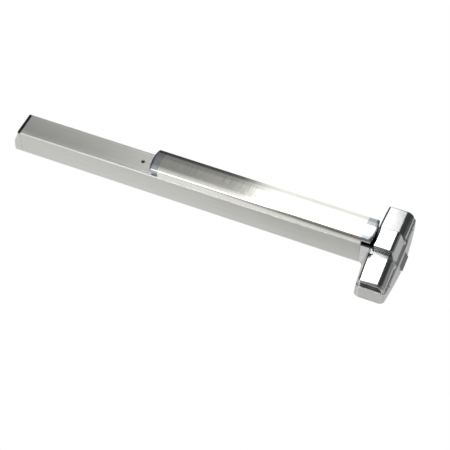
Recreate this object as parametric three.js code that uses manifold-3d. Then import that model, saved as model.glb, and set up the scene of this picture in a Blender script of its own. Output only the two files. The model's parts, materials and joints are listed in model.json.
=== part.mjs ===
// Panic exit bar for the push side of a single door, latch at the right-hand end.
// Millimetres. +X runs along the bar towards the latch, -Y points away from the door,
// +Z is up. The door face is y = 0 and the origin is behind the middle of the head.
// The bar is drawn pushed in and dogged, with the latch bolt drawn back.
import * as THREE from 'three';
import { ConvexGeometry } from 'three/addons/geometries/ConvexGeometry.js';
import { mergeVertices } from 'three/addons/utils/BufferGeometryUtils.js';
import Module from 'manifold-3d';

const wasm = await Module();
wasm.setup();

// ---------------------------------------------------------------- driving sizes
const GAP = 0.3;                 // running or seating gap between two pieces
const CASE_HALF = 57.15 / 2;     // the case is 2 1/4 in square
const CASE_DEPTH = 57.15;
const CASE_WALL = 3.2;
const CASE_CORNER = 3.5;          // rounding of the case's two front edges
const CASE_LEFT = -802.8;
const CASE_RIGHT = -48.3;
const LIP_WIDTH = 5.0;           // front lips either side of the cover plate
const TRAVEL = 19;               // bar and latch both move 3/4 in
const STEEL_PLATE = 2.4;

const PAD_LEFT = -486;           // extruded part of the pad, between its end caps
const PAD_RIGHT = -49;
const PAD_CAP_TIP = { left: -505.4, right: -25.4 };
const PAD_CAP_SAG = { left: 1.6, right: 3.3 };   // how far each cap's end bows out in plan
const PAD_CAP_UNDER_Y = -67.5;   // the caps' side walls are shorter than the pad's
const PAD_EDGE_Y = -76;          // where the crown meets the pad's side walls
const PAD_CROWN_Y = -84.5;
const PAD_HALF = 28.6;
const PAD_UNDER_Y = -58.2;       // lower edge of the side walls, pad pushed in
const PAD_WALL = 2.2;
const SKIRT_OUTER = 21.2;        // inner skirts that telescope into the case
const SKIRT_END_Y = -30;

const CRANK_REACH = 28.46;       // pivot to pin across the line of motion
const CRANK_SWING = 18.46 * Math.PI / 180;
const CRANK_PIVOT_Y = -42.6;
const CRANK_X = { left: -400, right: -130 };
const PAD_PIN_Y = CRANK_PIVOT_Y + TRAVEL / 2;
const PIN_RADIUS = 2.5;
const PIVOT_RADIUS = 3;
const LINK_Y = CRANK_PIVOT_Y + CRANK_REACH;
const LINK_Z = [3, 6];
const BASE_FRONT_Y = -5.9;       // front of the steel baseplate in the case
const SEAT_Y = BASE_FRONT_Y - GAP;

const DOOR_SCREW = { x: -775, z: 12, radius: 3.2 };   // pair at the hinge end
const END_CAP = { jointX: CASE_LEFT - GAP, faceX: -820.2, frontY: -53.6, wall: 2.8 };
const END_SCREW = { y: -10, z: 15, holeRadius: 2.6 };

const DOG_X = -531;              // dogging key hole
const CATCH_X = DOG_X + 13;      // catch pin on the link, drawn back
const LATCH_PIN_X = -10;
const LATCH_SEAT_X = -7;
const SPRING_TAB_X = -306;
const SPRING_SEAT_X = -340;
const SPRING_AXIS = { y: LINK_Y, z: 11.4 };
const DAMPER = { x: -265, z: -11 };

const HEAD_HALF_LENGTH = 110.5;
const HEAD_HALF_WIDTH = 40.5;
const LEDGE_Y = -25;             // top of the flared skirt round the head
const BRIDGE_Y = -63.4;
const COVER_WALL = 3;
const CHASSIS_THICK = 2.6;
const CHASSIS_SEAT_Y = -CHASSIS_THICK - GAP;

const BOLT = { left: 14, right: 41.8, back: -3.4, front: -16.6, half: 19.7, bevel: 7.6 };
const NECK_LEFT = -48;
const COVER_SCREWS = [
  { name: 'upper_right', side: 1, z: 77 },
  { name: 'lower_right', side: 1, z: -77 },
  { name: 'upper_left', side: -1, z: 77 },
  { name: 'lower_left', side: -1, z: -77 },
];
const COVER_SCREW_Y = -20;
const COVER_SCREW_SEAT = 30.2;   // how far out the heads seat in the cover's wall

// ---------------------------------------------------------------- small helpers
const ARC_STEPS = 10;
const X = new THREE.Vector3(1, 0, 0);
const Y = new THREE.Vector3(0, 1, 0);
const Z = new THREE.Vector3(0, 0, 1);

function extrude(shape, from, to, basis, curveSegments = 6) {
  const geometry = new THREE.ExtrudeGeometry(shape, {
    depth: to - from, bevelEnabled: false, curveSegments,
  });
  geometry.translate(0, 0, from);
  return geometry.applyMatrix4(new THREE.Matrix4().makeBasis(...basis));
}

// Outlines are drawn in (y, z) for alongX, in (z, x) for alongY and in (x, y) for alongZ.
const alongX = (shape, from, to, steps) => extrude(shape, from, to, [Y, Z, X], steps);
const alongY = (shape, from, to, steps) => extrude(shape, from, to, [Z, X, Y], steps);
const alongZ = (shape, from, to, steps) => extrude(shape, from, to, [X, Y, Z], steps);

function polygon(points) {
  return new THREE.Shape(points.map(([a, b]) => new THREE.Vector2(a, b)));
}

function roundedPolygon(points, radius) {
  const shape = new THREE.Shape();
  points.forEach((point, i) => {
    const corner = new THREE.Vector2(...point);
    const before = new THREE.Vector2(...points.at(i - 1)).sub(corner).setLength(radius);
    const after = new THREE.Vector2(...points[(i + 1) % points.length]).sub(corner).setLength(radius);
    const start = before.add(corner);
    const end = after.add(corner);
    if (i === 0) shape.moveTo(start.x, start.y);
    else shape.lineTo(start.x, start.y);
    shape.quadraticCurveTo(corner.x, corner.y, end.x, end.y);
  });
  shape.closePath();
  return shape;
}

function disc(radius, a = 0, b = 0) {
  const shape = new THREE.Shape();
  shape.absarc(a, b, radius, 0, 2 * Math.PI);
  return shape;
}

function box(x, y, z) {
  const geometry = new THREE.BoxGeometry(x[1] - x[0], y[1] - y[0], z[1] - z[0]);
  return geometry.translate((x[0] + x[1]) / 2, (y[0] + y[1]) / 2, (z[0] + z[1]) / 2);
}

const outwards = (side, near, far) => [side * near, side * far].sort((a, b) => a - b);
const rodX = (radius, y, z, from, to) => alongX(disc(radius, y, z), from, to, ARC_STEPS);
const rodY = (radius, x, z, from, to) => alongY(disc(radius, z, x), from, to, ARC_STEPS);
const rodZ = (radius, x, y, from, to) => alongZ(disc(radius, x, y), from, to, ARC_STEPS);

function solid(geometry) {
  const bare = geometry.clone();
  bare.deleteAttribute('normal');
  bare.deleteAttribute('uv');
  const merged = mergeVertices(bare, 1e-4);
  return new wasm.Manifold(new wasm.Mesh({
    numProp: 3,
    vertProperties: new Float32Array(merged.attributes.position.array),
    triVerts: new Uint32Array(merged.index.array),
  }));
}

function geometryOf(manifold) {
  const mesh = manifold.getMesh();
  const geometry = new THREE.BufferGeometry();
  geometry.setAttribute('position', new THREE.BufferAttribute(mesh.vertProperties, 3));
  geometry.setIndex(new THREE.BufferAttribute(mesh.triVerts, 1));
  return geometry;
}

function combine(plus, minus = []) {
  const whole = plus.map(solid).reduce((sum, next) => sum.add(next));
  return geometryOf(minus.map(solid).reduce((rest, cut) => rest.subtract(cut), whole));
}

function overlapOf(a, b) {
  return geometryOf(solid(a).intersect(solid(b)));
}

// ---------------------------------------------------------------- materials
const FINISH = {
  aluminium: { color: 0xb9bab4, metalness: 0.8, roughness: 0.45 },
  padAluminium: { color: 0xcfd0cc, metalness: 0.9, roughness: 0.3 },
  castCover: { color: 0xc4c6c6, metalness: 1, roughness: 0.22 },
  castCap: { color: 0x9fa6aa, metalness: 0.9, roughness: 0.3 },
  steel: { color: 0x9a9c9e, metalness: 0.9, roughness: 0.45 },
  stainless: { color: 0xb4b6b6, metalness: 1, roughness: 0.3 },
  spring: { color: 0x7d7f82, metalness: 0.9, roughness: 0.35 },
  black: { color: 0x0c0c0d, metalness: 0, roughness: 0.6 },
};

const part = new THREE.Group();
part.name = 'panic_exit_bar';

function add(name, geometry, finish) {
  const mesh = new THREE.Mesh(geometry, new THREE.MeshStandardMaterial(FINISH[finish]));
  mesh.name = name;
  part.add(mesh);
}

// ---------------------------------------------------------------- mechanism case
function cornerArc(y, z, radius, from, to, steps = 4) {
  return Array.from({ length: steps + 1 }, (_, i) => {
    const angle = THREE.MathUtils.degToRad(from + (to - from) * i / steps);
    return [y + radius * Math.cos(angle), z + radius * Math.sin(angle)];
  });
}

function caseChannel() {
  const corner = CASE_CORNER;
  const front = -CASE_DEPTH;
  const lipInner = CASE_HALF - LIP_WIDTH;
  const lipBack = front + 2.8;
  const ledgeBack = lipBack + 2;
  const ledgeInner = lipInner - 1.6;
  const inside = CASE_HALF - CASE_WALL;
  const groove = { y: front + 6.5, width: 0.9, depth: 0.6 };
  const upper = [
    [-CASE_WALL, 0],
    [-CASE_WALL, inside],
    [ledgeBack, inside],
    [ledgeBack, ledgeInner],
    [lipBack, ledgeInner],
    [lipBack, lipInner],
    [front, lipInner],
    ...cornerArc(front + corner, CASE_HALF - corner, corner, 180, 90),
    [groove.y, CASE_HALF],
    [groove.y, CASE_HALF - groove.depth],
    [groove.y + groove.width, CASE_HALF - groove.depth],
    [groove.y + groove.width, CASE_HALF],
    [0, CASE_HALF],
  ];
  const lower = upper.slice(1).map(([y, z]) => [y, -z]).reverse();
  const section = polygon([...upper, ...lower]);
  const screwHoles = [-DOOR_SCREW.z, DOOR_SCREW.z]
    .map((z) => rodY(DOOR_SCREW.radius, DOOR_SCREW.x, z, -CASE_WALL - 1, 1));
  return combine([alongX(section, CASE_LEFT, CASE_RIGHT)], screwHoles);
}

function caseCoverPlate() {
  const half = CASE_HALF - LIP_WIDTH - GAP;
  const plate = box([CASE_LEFT + GAP, PAD_LEFT - 2 * GAP], [-CASE_DEPTH, -CASE_DEPTH + 2.5], [-half, half]);
  return combine([plate], [rodY(3.6, DOG_X, 0, -CASE_DEPTH - 1, -CASE_DEPTH + 4)]);
}

// ---------------------------------------------------------------- end cap
function endCapProfile(inset, openX) {
  const front = END_CAP.frontY + inset;
  const shape = new THREE.Shape();
  shape.moveTo(openX, -inset);
  shape.lineTo(END_CAP.faceX + inset, -inset);
  shape.lineTo(END_CAP.faceX + inset, -17);
  shape.quadraticCurveTo(END_CAP.faceX + inset, -27, -813.6 + inset, -40);
  shape.lineTo(-808.8 + inset, front);
  shape.lineTo(openX, front);
  shape.closePath();
  return shape;
}

function endCap() {
  const half = CASE_HALF - END_CAP.wall;
  const outer = alongZ(endCapProfile(0, END_CAP.jointX), -CASE_HALF, CASE_HALF, 6);
  const inner = alongZ(endCapProfile(END_CAP.wall, END_CAP.jointX + 1), -half, half, 6);
  const holes = [-END_SCREW.z, END_SCREW.z]
    .map((z) => rodX(END_SCREW.holeRadius, END_SCREW.y, z, END_CAP.faceX - 1, END_CAP.faceX + 5));
  return combine([outer], [inner, ...holes]);
}

function endCapStrip() {
  const back = END_CAP.frontY - GAP;
  const front = -CASE_DEPTH;
  const strip = roundedPolygon([
    [back, -CASE_HALF], [back, CASE_HALF], [front, CASE_HALF], [front, -CASE_HALF],
  ], 1.6);
  return alongX(strip, -808.8, END_CAP.jointX, 3);
}

function endCapBracket() {
  const left = CASE_LEFT + 2.8;
  const back = -CASE_WALL - GAP;
  const half = 22;
  const foot = box([left, left + 42], [back - STEEL_PLATE, back], [-half, half]);
  const upright = box([left, left + STEEL_PLATE], [-46, back], [-half, half]);
  const doorHoles = [-DOOR_SCREW.z, DOOR_SCREW.z]
    .map((z) => rodY(DOOR_SCREW.radius, DOOR_SCREW.x, z, back - 4, back + 1));
  const capHoles = [-END_SCREW.z, END_SCREW.z]
    .map((z) => rodX(END_SCREW.holeRadius, END_SCREW.y, z, left - 2, left + 5));
  return combine([foot, upright], [...doorHoles, ...capHoles]);
}

function endCapScrew(z) {
  const headRadius = 4.2;
  const face = END_CAP.faceX - GAP;
  const head = rodX(headRadius, END_SCREW.y, z, face - 2.3, face);
  const shank = rodX(2.2, END_SCREW.y, z, face - 1, CASE_LEFT + 8);
  const slot = box([face - 4, face - 1.3],
    [END_SCREW.y - headRadius, END_SCREW.y + headRadius], [z - 0.6, z + 0.6]);
  return combine([head, shank], [slot]);
}

// ---------------------------------------------------------------- push pad
function crownedSection(inset, under = PAD_UNDER_Y) {
  const half = PAD_HALF - inset;
  const edge = PAD_EDGE_Y + inset;
  const crown = PAD_CROWN_Y + inset;
  const round = 3;
  const shape = new THREE.Shape();
  shape.moveTo(under, -half);
  shape.lineTo(edge + round, -half);
  shape.quadraticCurveTo(edge - 0.4, -half, edge - round * 0.9, -half + round);
  shape.bezierCurveTo(crown + 1.6, -half * 0.55, crown, -half * 0.3, crown, 0);
  shape.bezierCurveTo(crown, half * 0.3, crown + 1.6, half * 0.55, edge - round * 0.9, half - round);
  shape.quadraticCurveTo(edge - 0.4, half, edge + round, half);
  shape.lineTo(under, half);
  return shape;
}

function pushPad() {
  const shell = alongX(crownedSection(0), PAD_LEFT, PAD_RIGHT, 8);
  const hollow = alongX(crownedSection(PAD_WALL), PAD_LEFT - 1, PAD_RIGHT + 1, 8);
  const openUnder = box([PAD_LEFT - 1, PAD_RIGHT + 1], [PAD_UNDER_Y - 6, PAD_UNDER_Y + 1],
    [PAD_WALL - PAD_HALF, PAD_HALF - PAD_WALL]);
  const crownAtSkirt = -79;
  const skirts = [-1, 1].map((side) => {
    const inner = side * (SKIRT_OUTER - 2);
    const outer = side * SKIRT_OUTER;
    return box([PAD_LEFT, PAD_RIGHT - GAP], [crownAtSkirt, SKIRT_END_Y],
      [Math.min(inner, outer), Math.max(inner, outer)]);
  });
  const hollowShell = combine([shell], [hollow, openUnder]);
  return combine([hollowShell, ...skirts]);
}

// The caps repeat the pad's crown and bow outwards in plan by a few millimetres.
function padEndCap(seamX, tipX, sag) {
  const side = Math.sign(tipX - seamX);
  const from = Math.min(seamX, tipX);
  const to = Math.max(seamX, tipX);
  const crown = alongX(crownedSection(0, PAD_CAP_UNDER_Y), from, to, 8);
  const plan = new THREE.Shape();
  plan.moveTo(-PAD_HALF - 1, seamX);
  plan.lineTo(-PAD_HALF - 1, tipX - side * sag);
  plan.quadraticCurveTo(0, tipX + side * sag, PAD_HALF + 1, tipX - side * sag);
  plan.lineTo(PAD_HALF + 1, seamX);
  const bowed = overlapOf(crown, alongY(plan, PAD_CROWN_Y - 1, PAD_CAP_UNDER_Y + 1, 8));
  const span = (a, b) => [a, b].sort((p, q) => p - q);
  const spigot = box(span(seamX - side * 9, seamX + side * 4), [-76.5, -63], [-18.4, 18.4]);
  const hollow = box(span(seamX - side, tipX - side * 6), [-74, PAD_CAP_UNDER_Y + 2], [-25.5, 25.5]);
  return combine([combine([bowed], [hollow]), spigot]);
}

function padBracket(pinX) {
  const web = box([pinX - 12, pinX + 12], [-76.5, -73.5], [-18.5, 18.5]);
  const legs = [-1, 1].map((side) => {
    const leg = roundedPolygon([
      [pinX - 9, -74.5], [pinX + 9, -74.5], [pinX + 6, -28.6], [pinX - 6, -28.6],
    ], 3);
    return alongZ(leg, side > 0 ? 6 : -8.4, side > 0 ? 8.4 : -6, 3);
  });
  return combine([web, ...legs], [rodZ(PIN_RADIUS + GAP, pinX, PAD_PIN_Y, -10, 10)]);
}

const padPin = (pinX) => rodZ(PIN_RADIUS, pinX, PAD_PIN_Y, -9.4, 9.4);

// ---------------------------------------------------------------- bell cranks and link
function crankArm(pivotX, angle) {
  const slotInner = CRANK_REACH - 0.4;
  const slotOuter = CRANK_REACH / Math.cos(CRANK_SWING) + 0.4;
  const place = new THREE.Matrix4()
    .makeTranslation(pivotX, CRANK_PIVOT_Y, 0)
    .multiply(new THREE.Matrix4().makeRotationZ(angle));
  const arm = roundedPolygon([[-6, -6], [slotOuter + 5.2, -5], [slotOuter + 5.2, 5], [-6, 6]], 4.5);
  const half = PIN_RADIUS + 0.45;
  const slot = roundedPolygon([
    [slotInner - half, -half], [slotOuter + half, -half],
    [slotOuter + half, half], [slotInner - half, half],
  ], 1.2);
  return {
    arm: alongZ(arm, -2.5, 2.5, 4).applyMatrix4(place),
    slot: alongZ(slot, -4, 4, 3).applyMatrix4(place),
  };
}

// At rest the arm to the pad leans towards the door by half the swing.
function bellCrank(pivotX) {
  const toPad = crankArm(pivotX, CRANK_SWING);
  const toLink = crankArm(pivotX, CRANK_SWING + Math.PI / 2);
  const hub = rodZ(6.6, pivotX, CRANK_PIVOT_Y, -10.6, 10.6);
  const bore = rodZ(PIVOT_RADIUS + GAP, pivotX, CRANK_PIVOT_Y, -12, 12);
  return combine([toPad.arm, toLink.arm, hub], [toPad.slot, toLink.slot, bore]);
}

function crankBracket(pivotX) {
  const foot = box([pivotX - 24, pivotX + 24], [SEAT_Y - STEEL_PLATE, SEAT_Y], [-14, 14]);
  const window = box([pivotX - 18.5, pivotX + 18.5], [-12, 0], [-9.5, 9.5]);
  const ear = roundedPolygon([
    [pivotX - 22, SEAT_Y - 1], [pivotX + 22, SEAT_Y - 1],
    [pivotX + 7, CRANK_PIVOT_Y - 7], [pivotX - 7, CRANK_PIVOT_Y - 7],
  ], 4);
  const ears = [alongZ(ear, 11, 13.4, 3), alongZ(ear, -13.4, -11, 3)];
  return combine([foot, ...ears], [window, rodZ(PIVOT_RADIUS + GAP, pivotX, CRANK_PIVOT_Y, -15, 15)]);
}

const crankPin = (pivotX) => combine([
  rodZ(PIVOT_RADIUS, pivotX, CRANK_PIVOT_Y, -14.6, 14.6),
  rodZ(4.6, pivotX, CRANK_PIVOT_Y, 13.7, 15.4),
]);

const linkPinX = (pivotX) => pivotX - TRAVEL / 2;

function linkBar() {
  const bar = box([CATCH_X - 5, LATCH_PIN_X + 7], [-17.4, -10.4], LINK_Z);
  const tab = box([SPRING_TAB_X, SPRING_TAB_X + 2.5], [-19, -9.5], [LINK_Z[1] - 1, 17]);
  const rodHole = rodX(2.6, SPRING_AXIS.y, SPRING_AXIS.z, SPRING_TAB_X - 1, SPRING_TAB_X + 4);
  const pinHoles = [linkPinX(CRANK_X.left), linkPinX(CRANK_X.right)]
    .map((x) => rodZ(PIN_RADIUS + GAP, x, LINK_Y, 0, 9));
  const catchHole = rodZ(2 + GAP, CATCH_X, LINK_Y, 0, 9);
  const slotHalf = 2.4;
  const lostMotion = box([LATCH_PIN_X - TRAVEL - slotHalf, LATCH_PIN_X + slotHalf],
    [LINK_Y - slotHalf, LINK_Y + slotHalf], [0, 9]);
  return combine([bar, tab], [rodHole, ...pinHoles, catchHole, lostMotion]);
}

const linkPin = (pivotX) => combine([
  rodZ(PIN_RADIUS, linkPinX(pivotX), LINK_Y, -4.2, 6.6),
  rodZ(3.8, linkPinX(pivotX), LINK_Y, 6.3, 7.8),
]);

const catchPin = () => combine([
  rodZ(2, CATCH_X, LINK_Y, -3, 6.6),
  rodZ(3.2, CATCH_X, LINK_Y, 6.3, 7.6),
]);

// ---------------------------------------------------------------- springs
class Helix extends THREE.Curve {
  constructor(radius, turns, from, to, y, z) {
    super();
    Object.assign(this, { radius, turns, from, to, y, z });
  }

  getPoint(t, target = new THREE.Vector3()) {
    const angle = 2 * Math.PI * this.turns * t;
    return target.set(
      this.from + (this.to - this.from) * t,
      this.y + this.radius * Math.cos(angle),
      this.z + this.radius * Math.sin(angle),
    );
  }
}

function coilSpring({ radius, wire, turns, from, to, y, z }) {
  const path = new Helix(radius, turns, from + wire, to - wire, y, z);
  const section = new THREE.Shape();
  section.absarc(0, 0, wire, 0, 2 * Math.PI);
  return new THREE.ExtrudeGeometry(section, {
    steps: turns * 12, curveSegments: 3, bevelEnabled: false, extrudePath: path,
  });
}

const mainSpring = () => coilSpring({
  radius: 3.8, wire: 0.7, turns: 9, y: SPRING_AXIS.y, z: SPRING_AXIS.z,
  from: SPRING_SEAT_X + GAP, to: SPRING_TAB_X - GAP,
});

function springAnchor() {
  const upright = box([SPRING_SEAT_X - 2.4, SPRING_SEAT_X], [-20, -6.2], [6.8, 18]);
  const foot = box([SPRING_SEAT_X - 16, SPRING_SEAT_X], [SEAT_Y - STEEL_PLATE, SEAT_Y], [6.8, 18]);
  const rodHole = rodX(2.3, SPRING_AXIS.y, SPRING_AXIS.z, SPRING_SEAT_X - 4, SPRING_SEAT_X + 1);
  return combine([upright, foot], [rodHole]);
}

const springGuideRod = () => combine([
  rodX(2, SPRING_AXIS.y, SPRING_AXIS.z, SPRING_SEAT_X - 3, -278),
  rodX(3.2, SPRING_AXIS.y, SPRING_AXIS.z, SPRING_SEAT_X - 4.6, SPRING_SEAT_X - 2.4 - GAP),
]);

// ---------------------------------------------------------------- damper and dogging
function damperBody() {
  const barrel = rodY(7, DAMPER.x, DAMPER.z, -36, SEAT_Y);
  const flange = box([DAMPER.x - 13, DAMPER.x + 13], [SEAT_Y - 2, SEAT_Y], [-18, -4]);
  return combine([barrel, flange], [rodY(2.6, DAMPER.x, DAMPER.z, -37, -9)]);
}

const damperRod = () => combine([
  rodY(2.2, DAMPER.x, DAMPER.z, -76.5, -9.6),
  rodY(6, DAMPER.x, DAMPER.z, -76.5, -74),
]);

// The hook hangs clear of the link's catch pin; a quarter turn brings it round the pin.
function doggingHook() {
  const shaft = rodY(3, DOG_X, 0, -48.5, SEAT_Y);
  const hub = rodY(5.4, DOG_X, 0, -26, -19);
  const arm = box([DOG_X - 2.2, DOG_X + 2.2], [-24, -20.5], [-19.5, 0]);
  const nose = box([DOG_X - 2.2, DOG_X + 2.2], [-24, -10.5], [-19.5, -16.2]);
  const hexRadius = 2;
  const socket = new THREE.Shape(Array.from({ length: 6 }, (_, i) => new THREE.Vector2(
    hexRadius * Math.cos(i * Math.PI / 3), DOG_X + hexRadius * Math.sin(i * Math.PI / 3),
  )));
  return combine([shaft, hub, arm, nose], [alongY(socket, -49, -43)]);
}

const doggingBush = () => combine(
  [rodY(7.5, DOG_X, 0, -CASE_DEPTH + 2.5 + GAP, -52.4), rodY(5, DOG_X, 0, -53, -41)],
  [rodY(3 + GAP, DOG_X, 0, -56, -40)],
);

function mechanismBaseplate() {
  const plate = box([-552, -56], [BASE_FRONT_Y, BASE_FRONT_Y + STEEL_PLATE], [-24.6, 24.6]);
  const holes = [-545, -470, -330, -200, -75].map((x) => rodY(3.2, x, -18, -8, -2));
  return combine([plate], holes);
}

// ---------------------------------------------------------------- head cover
// An outline in (x, z): the long sides bow outwards and the corners are rounded.
function bowedOutline(halfWidth, halfLength, endHalfWidth, corner) {
  const sideSteps = 6;
  const quarter = [];
  const straight = halfLength - corner;
  const widthAt = (z) => halfWidth - (halfWidth - endHalfWidth) * (z / halfLength) ** 1.5;
  for (let i = 0; i <= sideSteps; i += 1) {
    const z = straight * i / sideSteps;
    quarter.push([widthAt(z), z]);
  }
  const cornerX = widthAt(straight) - corner;
  cornerArc(cornerX, straight, corner, 15, 90, 5).forEach((point) => quarter.push(point));
  return [
    ...quarter,
    ...quarter.map(([x, z]) => [-x, z]),
    ...quarter.map(([x, z]) => [x, -z]),
    ...quarter.map(([x, z]) => [-x, -z]),
  ];
}

const atLevel = (outline, y) => outline.map(([x, z]) => new THREE.Vector3(x, y, z));

const SKIRT_BASE = {
  halfWidth: HEAD_HALF_WIDTH, endHalfWidth: 30.2, halfLength: HEAD_HALF_LENGTH, corner: 9,
};
const SKIRT_LEDGE = { halfWidth: 31.6, endHalfWidth: 31, halfLength: 104.5, corner: 9 };

function skirt(inset, baseY, ledgeY) {
  const ring = (size, y) => atLevel(bowedOutline(
    size.halfWidth - inset, size.halfLength - inset, size.endHalfWidth - inset, size.corner - inset,
  ), y);
  return new ConvexGeometry([...ring(SKIRT_BASE, baseY), ...ring(SKIRT_LEDGE, ledgeY)]);
}

// Each level of a lobe: height above the door, then its left, right, inner and outer limits.
const LOBE_LEVELS = [
  { y: -24, left: -30.4, right: 29.4, inner: 33.5, outer: 103.6, corner: 9 },
  { y: -33.9, left: -30.2, right: 26.4, inner: 33.7, outer: 102.8, corner: 9 },
  { y: -39.8, left: -29.4, right: 24.6, inner: 34, outer: 102, corner: 8.5 },
  { y: -43.8, left: -27, right: 21.4, inner: 35.2, outer: 100.2, corner: 8 },
  { y: -46, left: -22.6, right: 14.4, inner: 38, outer: 96.4, corner: 7 },
];
const LOBE_NARROWING = { left: 2.4, right: 0.6 };   // by the outer end
const LOBE_FALL = 0.16;          // the face drops by this share of its height by the outer end

function lobe(direction, inset) {
  const points = [];
  LOBE_LEVELS.forEach((level) => {
    const left = level.left + inset;
    const right = level.right - inset;
    const inner = level.inner + inset;
    const outer = level.outer - inset;
    const corner = level.corner - inset / 2;
    const y = level.y + inset;
    const outerLeft = left + LOBE_NARROWING.left;
    const outerRight = right - LOBE_NARROWING.right;
    const slope = (z) => LEDGE_Y + (y - LEDGE_Y) * (1 - LOBE_FALL * Math.max(0, z - 30) / 70);
    const outline = [
      [left, inner],
      [right, inner],
      ...cornerArc(outerRight - corner, outer - corner, corner, 0, 90, 4),
      ...cornerArc(outerLeft + corner, outer - corner, corner, 90, 180, 4),
    ];
    outline.forEach(([x, z]) => points.push(new THREE.Vector3(x, slope(z), direction * z)));
  });
  return new ConvexGeometry(points);
}

function bridge(inset) {
  const levels = [
    { y: LEDGE_Y + 2, left: -30, right: 29.4, half: 33.8 },
    { y: -58, left: -30, right: 18.4, half: 27 },
    { y: -61.6, left: -30, right: 16.4, half: 26 },
    { y: BRIDGE_Y, left: -30, right: 13, half: 24.6 },
  ];
  const points = levels.flatMap(({ y, left, right, half }) => {
    const halfHeight = half - inset;
    return [
      new THREE.Vector3(left + inset, y + inset, -halfHeight),
      new THREE.Vector3(left + inset, y + inset, halfHeight),
      new THREE.Vector3(right - inset, y + inset, -halfHeight + 1.5),
      new THREE.Vector3(right - inset, y + inset, halfHeight - 1.5),
      new THREE.Vector3(right - inset - 1.5, y + inset, -halfHeight),
      new THREE.Vector3(right - inset - 1.5, y + inset, halfHeight),
    ];
  });
  return new ConvexGeometry(points);
}

function neck(inset, left, right) {
  const half = CASE_HALF - inset;
  const front = -CASE_DEPTH + inset;
  const back = inset > 0 ? 1 : 0;
  const section = polygon([
    [back, -half],
    [back, half],
    ...cornerArc(front + CASE_CORNER, half - CASE_CORNER, CASE_CORNER, 90, 180),
    ...cornerArc(front + CASE_CORNER, CASE_CORNER - half, CASE_CORNER, 180, 270),
  ]);
  return alongX(section, left, right);
}

// Concave fillets where the neck runs into the head's left wall.
function neckFillet(side) {
  const fillet = new THREE.Shape();
  fillet.moveTo(side * (CASE_HALF - 1), -46);
  fillet.lineTo(side * CASE_HALF, -46);
  fillet.quadraticCurveTo(side * CASE_HALF, -38.8, side * (CASE_HALF + 11), -38.2);
  fillet.lineTo(side * (CASE_HALF + 11), -34);
  fillet.lineTo(side * (CASE_HALF - 1), -34);
  return alongY(fillet, LEDGE_Y, 0, 6);
}

function headCover() {
  const outer = [
    skirt(0, 0, LEDGE_Y), lobe(1, 0), lobe(-1, 0), bridge(0), neck(0, NECK_LEFT, -24),
    neckFillet(1), neckFillet(-1),
  ];
  const bowCentre = -222;
  const padBay = alongY(disc(200, 0, bowCentre), -90, -CASE_DEPTH, 60);
  const padBayBox = box([-48, -20], [-90, -CASE_DEPTH], [-40, 40]);
  const bay = overlapOf(padBay, padBayBox);
  const boltNotch = box([22, 46], [BOLT.front - 0.8, 1], [-BOLT.half - 0.6, BOLT.half + 0.6]);
  const inner = [
    skirt(COVER_WALL, 1, LEDGE_Y + COVER_WALL), lobe(1, COVER_WALL), lobe(-1, COVER_WALL),
    bridge(COVER_WALL), neck(COVER_WALL, NECK_LEFT - 1, -22),
  ];
  const screwHoles = COVER_SCREWS.flatMap(({ side, z }) => [
    rodX(2.3, COVER_SCREW_Y, z, ...outwards(side, 22, 40)),
    rodX(3.2, COVER_SCREW_Y, z, ...outwards(side, COVER_SCREW_SEAT, 40)),
  ]);
  return combine(outer, [bay, ...inner, boltNotch, ...screwHoles]);
}

function coverScrew({ side, z }) {
  const under = COVER_SCREW_SEAT + GAP / 3;
  const head = rodX(2.8, COVER_SCREW_Y, z, ...outwards(side, under, under + 1.6));
  const shank = rodX(1.9, COVER_SCREW_Y, z, ...outwards(side, 20, under + 0.5));
  const hex = rodX(1.3, COVER_SCREW_Y, z, ...outwards(side, under + 0.6, under + 3));
  return combine([head, shank], [hex]);
}

// ---------------------------------------------------------------- head chassis and latch
function headChassis() {
  const plate = alongY(roundedPolygon([
    [-102, -28], [-102, 28], [102, 28], [102, -28],
  ], 10), -CHASSIS_THICK, 0, 4);
  const doorHoles = [[-18, 92], [18, 92], [-18, -92], [18, -92]]
    .map(([x, z]) => rodY(3.4, x, z, -5, 1));
  const tabs = COVER_SCREWS.map(({ side, z }) => (
    box(outwards(side, 22.2, 24.8), [-23.4, -1], [z - 5, z + 5])
  ));
  const tabHoles = COVER_SCREWS.map(({ side, z }) => (
    rodX(2.2, COVER_SCREW_Y, z, ...outwards(side, 18, 30))
  ));
  return combine([plate, ...tabs], [...doorHoles, ...tabHoles]);
}

function latchGuide() {
  const cheeks = [-1, 1].map((side) => box([6, 28], [-20.4, CHASSIS_SEAT_Y],
    [side > 0 ? 20.3 : -22.8, side > 0 ? 22.8 : -20.3]));
  const strap = box([17, 27], [-20.4, -17.6], [-22, 22]);
  const feet = [-1, 1].map((side) => box([6, 28], [CHASSIS_SEAT_Y - 2.2, CHASSIS_SEAT_Y],
    [side > 0 ? 21 : -30, side > 0 ? 30 : -21]));
  return combine([...cheeks, strap, ...feet]);
}

// The holding face is square to the door; the side away from the door is bevelled.
function latchBolt() {
  const bevel = polygon([
    [BOLT.left, BOLT.back], [BOLT.right, BOLT.back], [BOLT.right, BOLT.back - 1.2],
    [BOLT.right - BOLT.bevel, BOLT.front], [BOLT.left, BOLT.front],
  ]);
  const block = alongZ(bevel, -BOLT.half, BOLT.half);
  const tail = box([LATCH_PIN_X - 4.5, BOLT.left + 2], [-17.2, -10], [-6, 2.5]);
  return combine([block, tail], [rodZ(2 + GAP, LATCH_PIN_X, LINK_Y, -7, 4)]);
}

const latchDrivePin = () => combine([
  rodZ(2, LATCH_PIN_X, LINK_Y, -6.6, 7),
  rodZ(3, LATCH_PIN_X, LINK_Y, -7.6, -6.3),
]);

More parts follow.
